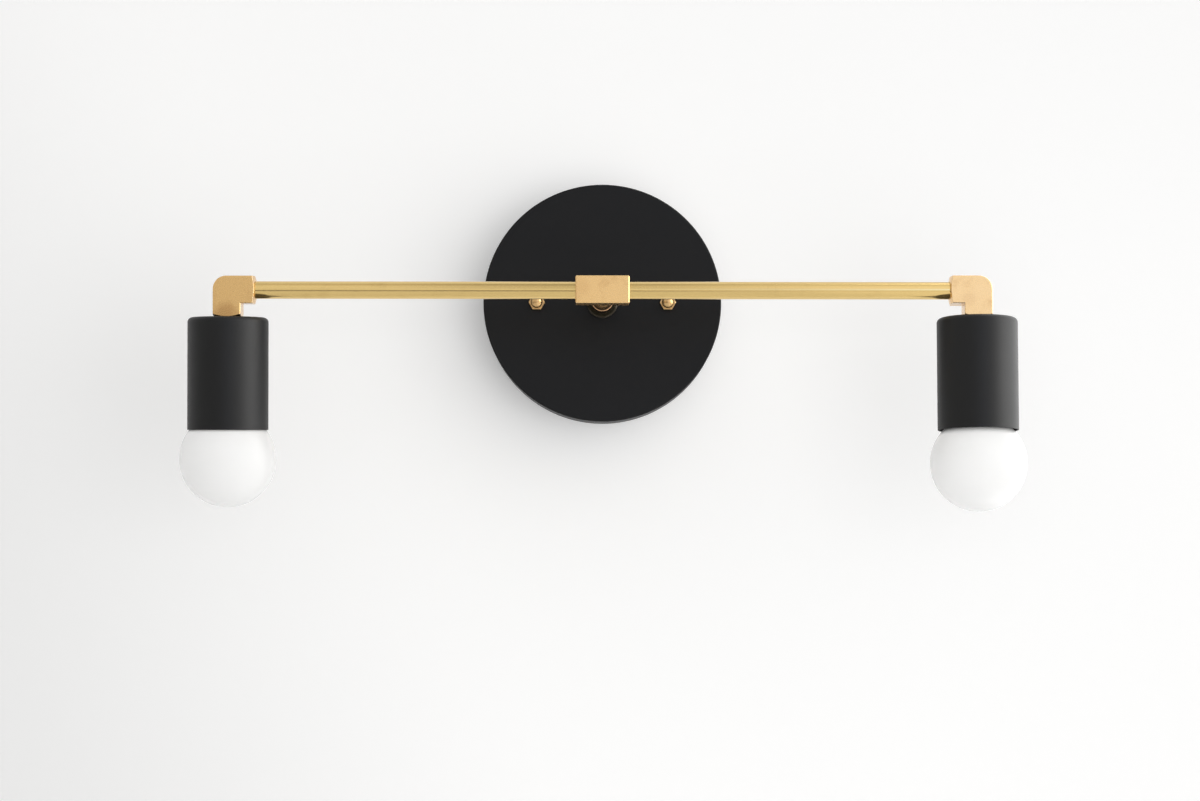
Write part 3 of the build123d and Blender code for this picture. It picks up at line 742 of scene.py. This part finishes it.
class Form:
    """A mesh piece under construction, in coordinates of its own."""

    def __init__(self, name: str, place: Matrix | None = None) -> None:
        """Start an empty piece that will be moved to a place."""
        self.name = name
        self.place = place or Matrix.Identity(4)
        self.mesh = bmesh.new()

    def loft(self, rows: list[list[Vector]], around: bool, loop: bool = False, capped: bool = False) -> None:
        """Join rows of points, each with the same count, by faces.

        Args:
            rows: The rows.
            around: Whether the last point of a row joins its first.
            loop: Whether the last row joins the first.
            capped: Whether the first and last rows are filled.
        """
        made = [[self.mesh.verts.new(self.place @ point) for point in row] for row in rows]
        size = len(made[0])
        for low, high in [*zip(made, made[1:]), *([(made[-1], made[0])] if loop else [])]:
            for index in range(size if around else size - 1):
                after = (index + 1) % size
                self.mesh.faces.new((low[index], low[after], high[after], high[index]))
        if capped:
            self.mesh.faces.new(made[0])
            self.mesh.faces.new(made[-1])

    def spin(self, outline: list[Point], steps: int, closed: bool = True) -> None:
        """Turn an outline about Z.

        Args:
            outline: Points as radius and height.
            steps: Points around.
            closed: Whether the outline comes back to its start.
        """
        rows = []
        for step in range(steps):
            turn = math.tau * step / steps
            rows.append([Vector((r * math.cos(turn), r * math.sin(turn), z)) for r, z in outline])
        self.loft(rows, around=closed, loop=True)

    def thread(self, core: float, crest: float, pitch: float, start: float, end: float, steps: int) -> None:
        """Wind a thread's ridge about Z, faded out at both ends.

        Args:
            core: Radius that the ridge stands on.
            crest: Radius of the ridge.
            pitch: Rise of one turn.
            start: Height of the first turn.
            end: Height of the last turn.
            steps: Points around.
        """
        turns = (end - start) / pitch
        sunk = core - 0.3 * (crest - core)
        rows = []
        for step in range(int(turns * steps) + 1):
            share = step / steps
            tall = core + min(1.0, share, turns - share) * (crest - core)
            ridge = ((sunk, -0.42), (tall, -0.07), (tall, 0.07), (sunk, 0.42))
            c, s = math.cos(math.tau * share), math.sin(math.tau * share)
            rows.append([Vector((r * c, r * s, start + (share + rise) * pitch)) for r, rise in ridge])
        self.loft(rows, around=True, capped=True)

    def flat(self, facing: Vector) -> bpy.types.Object:
        """Make an object of an open sheet.

        Args:
            facing: Way that the sheet's faces turn to.

        Returns:
            The object.
        """
        self.mesh.normal_update()
        wrong = [face for face in self.mesh.faces if face.normal.dot(facing) < 0]
        bmesh.ops.reverse_faces(self.mesh, faces=wrong)
        return self._object()

    def solid(self, sharp: float = 35.0) -> bpy.types.Object:
        """Make an object of closed shells.

        Args:
            sharp: Degrees between faces above which an edge stays sharp.

        Returns:
            The object.
        """
        bmesh.ops.remove_doubles(self.mesh, verts=self.mesh.verts, dist=1e-7)
        bmesh.ops.recalc_face_normals(self.mesh, faces=self.mesh.faces)
        made = self._object()
        made.data.shade_smooth()
        made.data.set_sharp_from_angle(angle=math.radians(sharp))
        return made

    def _object(self) -> bpy.types.Object:
        """Move the mesh into an object of the scene.

        Returns:
            The object.
        """
        data = bpy.data.meshes.new(self.name)
        self.mesh.to_mesh(data)
        self.mesh.free()
        made = bpy.data.objects.new(self.name, data)
        bpy.context.scene.collection.objects.link(made)
        logger.info("built %s", self.name)
        return made


class Assembly:
    """A group of CAD nodes with a finish each, and pieces of its own."""

    finishes: dict[str, Finish]

    def dress(self, nodes: dict[str, bpy.types.Object], prefix: str = "") -> None:
        """Give each node of the group its finish.

        Args:
            nodes: CAD nodes by name.
            prefix: Start of the nodes' names.
        """
        for name, finish in self.finishes.items():
            finish.dress(nodes[prefix + name])
            logger.info("dressed %s%s", prefix, name)

    @staticmethod
    def fit(piece: bpy.types.Object, finish: Finish, body: str, slot: str, node: str) -> None:
        """Put a piece in the place of a CAD node.

        Args:
            piece: The piece, where it belongs at rest.
            finish: Finish that it is dressed in.
            body: CAD body that it rides on.
            slot: Material slot of the record; not used.
            node: CAD node that it replaces.
        """
        finish.dress(piece)
        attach(piece, body)
        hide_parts(node)


@dataclass
class Canopy(Assembly):
    """Wall side: canopy, crossbar, hardware and supply wiring."""

    body: str = "wall_plate"
    stud_offset: float = 0.034925
    stud_radius: float = 0.00205
    stud_core: float = 0.00170
    stud_length: float = 0.0299
    stud_pitch: float = 0.000794
    stud_chamfer: float = 0.0003
    stud_steps: int = 24
    thread_start: float = 0.0004
    thread_stop: float = 0.0008
    lead_depth: float = 0.0095
    connector_mouth: float = 0.020
    connector_length: float = 0.021
    connector_bore: float = 0.0027
    connector_grip: float = 0.011
    connector_steps: int = 96
    ribs: int = 12
    rib_height: float = 0.00018
    wing_reach: float = 0.0011
    wing_sharpness: int = 14
    finishes: dict[str, Finish] = field(default_factory=lambda: {
        "canopy": CANOPY_COAT, "crossbar": ZINC, "canopy_studs": STEEL, "stud_jam_nuts": ZINC,
        "canopy_cap_nuts": NUT_BRASS, "ground_screw": GREEN_PLATE, "ground_ring": TIN,
        "ground_wire": COPPER, "hot_connector": ORANGE_PLASTIC, "neutral_connector": ORANGE_PLASTIC,
        "hot_leads": BLACK_WIRE, "neutral_leads": WHITE_WIRE,
    })

    def studs(self) -> None:
        """Build the two studs with their threads."""
        core, length, steps = self.stud_core, self.stud_length, self.stud_steps
        tip = [(core, length - self.stud_chamfer), (core - self.stud_chamfer, length), (0.0, length)]
        start, end = self.thread_start, length - self.thread_stop
        form = Form("threaded_studs")
        for side in (-1, 1):
            form.place = Matrix.Translation((side * self.stud_offset, 0, 0)) @ OUT_OF_WALL
            form.spin([(0.0, 0.0), (core, 0.0), *tip], steps, closed=False)
            form.thread(core, self.stud_radius, self.stud_pitch, start, end, steps)
        self.fit(form.solid(), STEEL, self.body, "plated_steel", "canopy_studs")

    def connector(self, wire: str, up: int) -> None:
        """Build a twist-on connector with wings, grip ribs and a rounded crown.

        Args:
            wire: Wire that it joins.
            up: 1 above the stem, -1 below it.
        """
        length, grip, bore = self.connector_length, self.connector_grip, self.connector_bore
        # Radius, height, share of the ribs and share of the wings, from inside the bore to the crown
        profile = [
            (0.0, grip, 0.0, 0.0), (0.6 * bore, grip, 0.0, 0.0), (bore, grip - 0.0015, 0.0, 0.0),
            (bore, 0.0012, 0.0, 0.0), (bore + 0.0005, 0.0002, 0.0, 0.0), (0.0047, 0.0, 0.0, 0.0),
            (0.0050, 0.0004, 0.0, 0.3), (0.0050, 0.0015, 0.0, 1.0), (0.0049, 0.0055, 0.0, 1.0),
            (0.0047, 0.0085, 0.0, 0.8), (0.0045, 0.0095, 0.0, 0.2), (0.0044, 0.0100, 0.6, 0.0),
            (0.0043, 0.0110, 1.0, 0.0), (0.0036, 0.0185, 1.0, 0.0), (0.0034, 0.0195, 0.3, 0.0),
            (0.0029, 0.0205, 0.0, 0.0), (0.0018, length - 0.0001, 0.0, 0.0), (0.0, length, 0.0, 0.0),
        ]
        turns = [math.tau * step / self.connector_steps for step in range(self.connector_steps)]
        rows = []
        for radius, height, rib, wing in profile:
            row = []
            for turn in turns:
                ridge = rib * self.rib_height * math.cos(self.ribs * turn)
                flare = wing * self.wing_reach * abs(math.cos(turn)) ** self.wing_sharpness
                reach = radius + ridge + flare
                row.append(Vector((reach * math.cos(turn), reach * math.sin(turn), height)))
            rows.append(row)
        flip = Matrix.Rotation(0.0 if up > 0 else math.pi, 4, "X")
        form = Form(
            f"{wire}_twist_connector",
            Matrix.Translation((0, -self.lead_depth, up * self.connector_mouth)) @ flip,
        )
        form.loft(rows, around=True)
        self.fit(form.solid(50.0), ORANGE_PLASTIC, self.body, "connector_orange", f"{wire}_connector")

    def build(self, nodes: dict[str, bpy.types.Object]) -> None:
        """Dress the nodes of the wall side and build its own pieces.

        Args:
            nodes: CAD nodes by name.
        """
        self.dress(nodes)
        self.studs()
        self.connector("hot", 1)
        self.connector("neutral", -1)


@dataclass
class Bar(Assembly):
    """Stem, tee and arms."""

    body: str = "bar"
    tube_radius: float = 0.0045
    tube_bore: float = 0.0035
    stem_end: float = 0.0161
    stem_front: float = 0.0915
    thread_end: float = 0.0262
    thread_core: float = 0.00415
    thread_pitch: float = 0.000941
    thread_start: float = 0.0006
    thread_rise: float = 0.0004
    thread_steps: int = 48
    tube_steps: int = 64
    finishes: dict[str, Finish] = field(default_factory=lambda: {
        "stem_tube": STEM_BRASS, "check_ring": RING_BRASS, "stem_neck": NECK_BRASS,
        "stem_lock_washer": ZINC, "stem_locknut": ZINC, "tee_block": CAST_BRASS,
        "left_arm_tube": TUBE_BRASS, "right_arm_tube": TUBE_BRASS,
        "left_arm_wires": BLACK_WIRE, "right_arm_wires": BLACK_WIRE,
    })

    def stem(self) -> None:
        """Build the stem with the thread at its tail."""
        outline = [
            (self.tube_bore, self.stem_end), (self.thread_core, self.stem_end),
            (self.thread_core, self.thread_end), (self.tube_radius, self.thread_end + self.thread_rise),
            (self.tube_radius, self.stem_front), (self.tube_bore, self.stem_front),
        ]
        form = Form("threaded_stem", OUT_OF_WALL)
        form.spin(outline, self.tube_steps)
        start = self.stem_end + self.thread_start
        form.thread(
            self.thread_core, self.tube_radius, self.thread_pitch, start, self.thread_end, self.thread_steps
        )
        self.fit(form.solid(), STEM_BRASS, self.body, "satin_brass", "stem_tube")

    def build(self, nodes: dict[str, bpy.types.Object]) -> None:
        """Dress the nodes of the bar and build the stem."""
        self.dress(nodes)
        self.stem()


@dataclass
class Lamp(Assembly):
    """One lamp: elbow, cup, holder and bulb."""

    side: str
    joints: list[dict]
    cup_top: float = 0.0140
    cup_rim: float = 0.0712
    cup_radius: float = 0.0205
    cup_wall: float = 0.0006
    cup_edge: float = 0.0025
    cup_hole: float = 0.00455
    cup_lip: float = 0.000288
    bulb_tip: float = 0.0340
    globe_centre: float = 0.0520
    globe_radius: float = 0.0245
    globe_wall: float = 0.0010
    globe_neck: float = 0.0165
    steps: int = 192
    arc_steps: int = 72
    finishes: dict[str, Finish] = field(default_factory=lambda: {
        "elbow": CAST_BRASS, "elbow_set_screw": STEEL, "cup_nipple": ZINC, "cup": CUP_COAT,
        "holder_strap": ZINC, "cup_locknut": ZINC, "lampholder": PORCELAIN, "strap_screws": ZINC,
        "terminal_screws": SHELL_BRASS, "screw_shell": SHELL_BRASS, "centre_contact": SHELL_BRASS,
        "lamp_wires": BLACK_WIRE, "bulb_tip": SOLDER, "bulb_insulator": DARK_GLASS,
        "bulb_base": BASE_METAL, "bulb_collar": COLLAR_WHITE, "bulb_globe": OPAL, "light_board": BOARD,
    })

    def joint(self, name: str) -> dict:
        """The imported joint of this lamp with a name."""
        return next(joint for joint in self.joints if joint["name"] == f"{self.side}_{name}")

    def place(self) -> Matrix:
        """Find the lamp's coordinates in the frame, with Z down the lamp from the bar's axis.

        Returns:
            The place as a matrix.
        """
        down = Vector(self.joint("bulb_slide")["axis"]).normalized()
        across = Vector((1, 0, 0))
        turn = Matrix((across, down.cross(across), down)).transposed().to_4x4()
        return Matrix.Translation(self.joint("lamp_tilt")["pos_m"]) @ turn

    def cup(self) -> None:
        """Build the cup with its rounded shoulder and rim."""
        inside, inside_top = self.cup_radius - self.cup_wall, self.cup_top + self.cup_wall
        outline = rounded([
            (self.cup_hole, self.cup_top, 0.0), (self.cup_radius, self.cup_top, self.cup_edge),
            (self.cup_radius, self.cup_rim, self.cup_lip), (inside, self.cup_rim, self.cup_lip),
            (inside, inside_top, self.cup_edge - self.cup_wall), (self.cup_hole, inside_top, 0.0),
        ])
        form = Form(f"{self.side}_lamp_cup", self.place())
        form.spin(outline, self.steps)
        self.fit(form.solid(), CUP_COAT, f"{self.side}_lamp", "black_paint", f"{self.side}_cup")

    def globe(self) -> None:
        """Build the globe as a thin shell, open at its neck."""
        tip = self.bulb_tip - self.joint("bulb_slide")["range_m"][0]
        span = math.pi - math.asin(self.globe_neck / self.globe_radius)
        turns = [span * step / self.arc_steps for step in range(self.arc_steps + 1)]
        shell: list[Point] = []
        for radius, order in ((self.globe_radius, 1), (self.globe_radius - self.globe_wall, -1)):
            arc = [(radius * math.sin(a), self.globe_centre + radius * math.cos(a)) for a in turns]
            shell.extend(arc[::order])
        form = Form(f"{self.side}_opal_globe", self.place() @ Matrix.Translation((0, 0, tip)))
        form.spin(shell, self.steps, closed=False)
        self.fit(form.solid(60.0), OPAL, f"{self.side}_bulb", "opal_glass", f"{self.side}_bulb_globe")

    def build(self, nodes: dict[str, bpy.types.Object]) -> None:
        """Dress the lamp's nodes and build its cup and globe.

        Args:
            nodes: CAD nodes by name.
        """
        self.dress(nodes, f"{self.side}_")
        self.cup()
        self.globe()


@dataclass(frozen=True)
class Window:
    """A soft rectangular light in watts; shiny surfaces mirror the room instead of it."""

    name: str
    place: Triple
    aim: Triple
    size: Point
    power: float

    def build(self) -> None:
        """Add the light to the scene, turned to its aim."""
        data = bpy.data.lights.new(self.name, "AREA")
        data.shape = "RECTANGLE"
        data.size, data.size_y = self.size
        data.energy = self.power
        made = bpy.data.objects.new(self.name, data)
        bpy.context.scene.collection.objects.link(made)
        made.location = self.place
        made.rotation_euler = (Vector(self.aim) - Vector(self.place)).to_track_quat("-Z", "Y").to_euler()
        made.visible_camera = False
        made.visible_glossy = False


@dataclass(frozen=True)
class Room:
    """World around the stage: even light, a pale backdrop, and a room that metal and glass mirror."""

    light_color: Color = (1.0, 0.995, 0.985)
    glare_color: Color = (0.92, 1.15, 1.85)
    backdrop: Color = (0.93, 0.93, 0.93)

    @staticmethod
    def glow(tree: ShaderTree, color: "Signal | Color", strength: "Signal | float") -> Signal:
        """Background shader of a colour and a strength."""
        return tree.add("ShaderNodeBackground", None, {"Color": color, "Strength": strength})

    def mirrored(self, tree: ShaderTree, x: Signal, z: Signal) -> Signal:
        """Build the room that metal and glass mirror: pale, brightest at the side window.

        Args:
            tree: Tree that the shader is built in.
            x: Direction to the right, from -1 to 1.
            z: Direction up, from -1 to 1.

        Returns:
            The shader.
        """
        window = x.ease(0.03, 0.13) * 0.17 + x.ease(0.2, 0.7) * 0.15 + x.ease(0.64, 0.98) * 4.0
        upper = z.ease(0.0, 0.35) - 1.7 * z.ease(0.7, 0.98)
        glare = abs(x - 0.17).ease(0.16, 0.04) * abs(z - 0.17).ease(0.24, 0.05)
        # Dim places: a band low on the left, a strip above and below the middle, and the left side
        band = abs(z + 0.25).ease(0.18, 0.05) * x.ease(0.07, -0.03)
        strip = abs(x + 0.01).ease(0.065, 0.03) * (z.ease(0.12, 0.35) * 0.42 + z.ease(0.06, -0.05) * 0.24)
        left = x.ease(-0.09, -0.2)
        bright = 0.9 + window + upper * 0.12 + glare * 0.26 - band * 0.7 - strip - left * 0.25
        return self.glow(tree, tree.mix(self.light_color, self.glare_color, glare), bright)

    def build(self) -> None:
        """Make the room the scene's world."""
        world = bpy.data.worlds.new("room")
        bpy.context.scene.world = world
        tree = ShaderTree(world)
        x, y, z = tree.axes(tree.add("ShaderNodeTexCoord", output="Generated"))
        light = self.glow(tree, self.light_color, 0.93 + x * 0.14 + y * 0.08 + z * 0.04)
        in_mirror = tree.ray("Glossy") + tree.ray("Transmission")
        glossy = tree.blend(light, self.mirrored(tree, x, z), in_mirror)
        pale = self.glow(tree, self.backdrop, 1.0)
        tree.close(tree.blend(glossy, pale, tree.ray("Camera")), "ShaderNodeOutputWorld")


@dataclass(frozen=True)
class Viewpoint:
    """Camera where the photograph was taken from, looking along +Y; angles in radians."""

    place: Triple = (-0.002035, -1.5323, -0.135739)
    yaw: float = -0.000567
    pitch: float = 0.05536
    roll: float = 0.001068
    sensor_width: float = 36.0
    lens: float = 85.0
    near: float = 0.01
    far: float = 50.0

    def build(self) -> None:
        """Add the camera and make it the scene's own."""
        data = bpy.data.cameras.new("photo_camera")
        data.sensor_fit = "HORIZONTAL"
        data.sensor_width = self.sensor_width
        data.lens = self.lens
        data.clip_start = self.near
        data.clip_end = self.far
        made = bpy.data.objects.new("photo_camera", data)
        bpy.context.scene.collection.objects.link(made)
        yaw = Matrix.Rotation(self.yaw, 4, "Z")
        pitch = Matrix.Rotation(math.pi / 2 + self.pitch, 4, "X")
        roll = Matrix.Rotation(self.roll, 4, "Z")
        made.matrix_world = Matrix.Translation(self.place) @ yaw @ pitch @ roll
        bpy.context.scene.camera = made


FRONT_WINDOW = Window("front_window", (0.3, -0.9, -0.25), (0.15, 0.0, -0.05), (0.8, 0.8), 2.0)
SIDE_WINDOW = Window("side_window", (1.5, -0.6, 0.05), (0.0, -0.1, -0.05), (0.8, 1.4), 1.8)


@dataclass
class Stage:
    """Wall, floor, light and camera around the sconce."""

    half_width: float = 4.0
    floor_level: float = -1.1
    floor_depth: float = 3.5
    hole_radius: float = 0.0605
    wall_gap: float = 0.0003
    hole_steps: int = 96
    room: Room = Room()
    windows: tuple[Window, ...] = (FRONT_WINDOW, SIDE_WINDOW)
    viewpoint: Viewpoint = Viewpoint()

    def floor(self) -> None:
        """Build the floor in front of the wall."""
        form = Form("stage_floor")
        across = (-self.half_width, 0.0, self.half_width)
        deep = [self.wall_gap - self.floor_depth * share for share in (0.0, 0.5, 1.0)]
        form.loft([[Vector((x, y, self.floor_level)) for x in across] for y in deep], around=False)
        sheet = form.flat(Vector((0, 0, 1)))
        FLOOR.dress(sheet)

    def wall(self) -> None:
        """Build the wall down to the floor, with a hole behind the canopy for the wall box."""
        inner, outer = [], []
        for step in range(self.hole_steps):
            turn = math.tau * step / self.hole_steps
            c, s = math.cos(turn), math.sin(turn)
            reach = self.half_width / max(abs(c), abs(s))
            inner.append(Vector((self.hole_radius * c, self.wall_gap, self.hole_radius * s)))
            outer.append(Vector((reach * c, self.wall_gap, max(reach * s, self.floor_level))))
        form = Form("stage_wall")
        form.loft([inner, outer], around=True)
        sheet = form.flat(Vector((0, -1, 0)))
        WALL.dress(sheet)

    def build(self) -> None:
        """Build the whole stage."""
        self.floor()
        self.wall()
        self.room.build()
        for window in self.windows:
            window.build()
        self.viewpoint.build()
        bpy.context.scene.view_settings.view_transform = "Standard"


def main() -> None:
    """Load the frame, build the stage and every sub-assembly."""
    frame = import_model()
    nodes = frame["nodes"]
    Stage().build()
    Canopy().build(nodes)
    Bar().build(nodes)
    for side in ("left", "right"):
        Lamp(side, frame["joints"]).build(nodes)


if __name__ == "__main__":
    main()
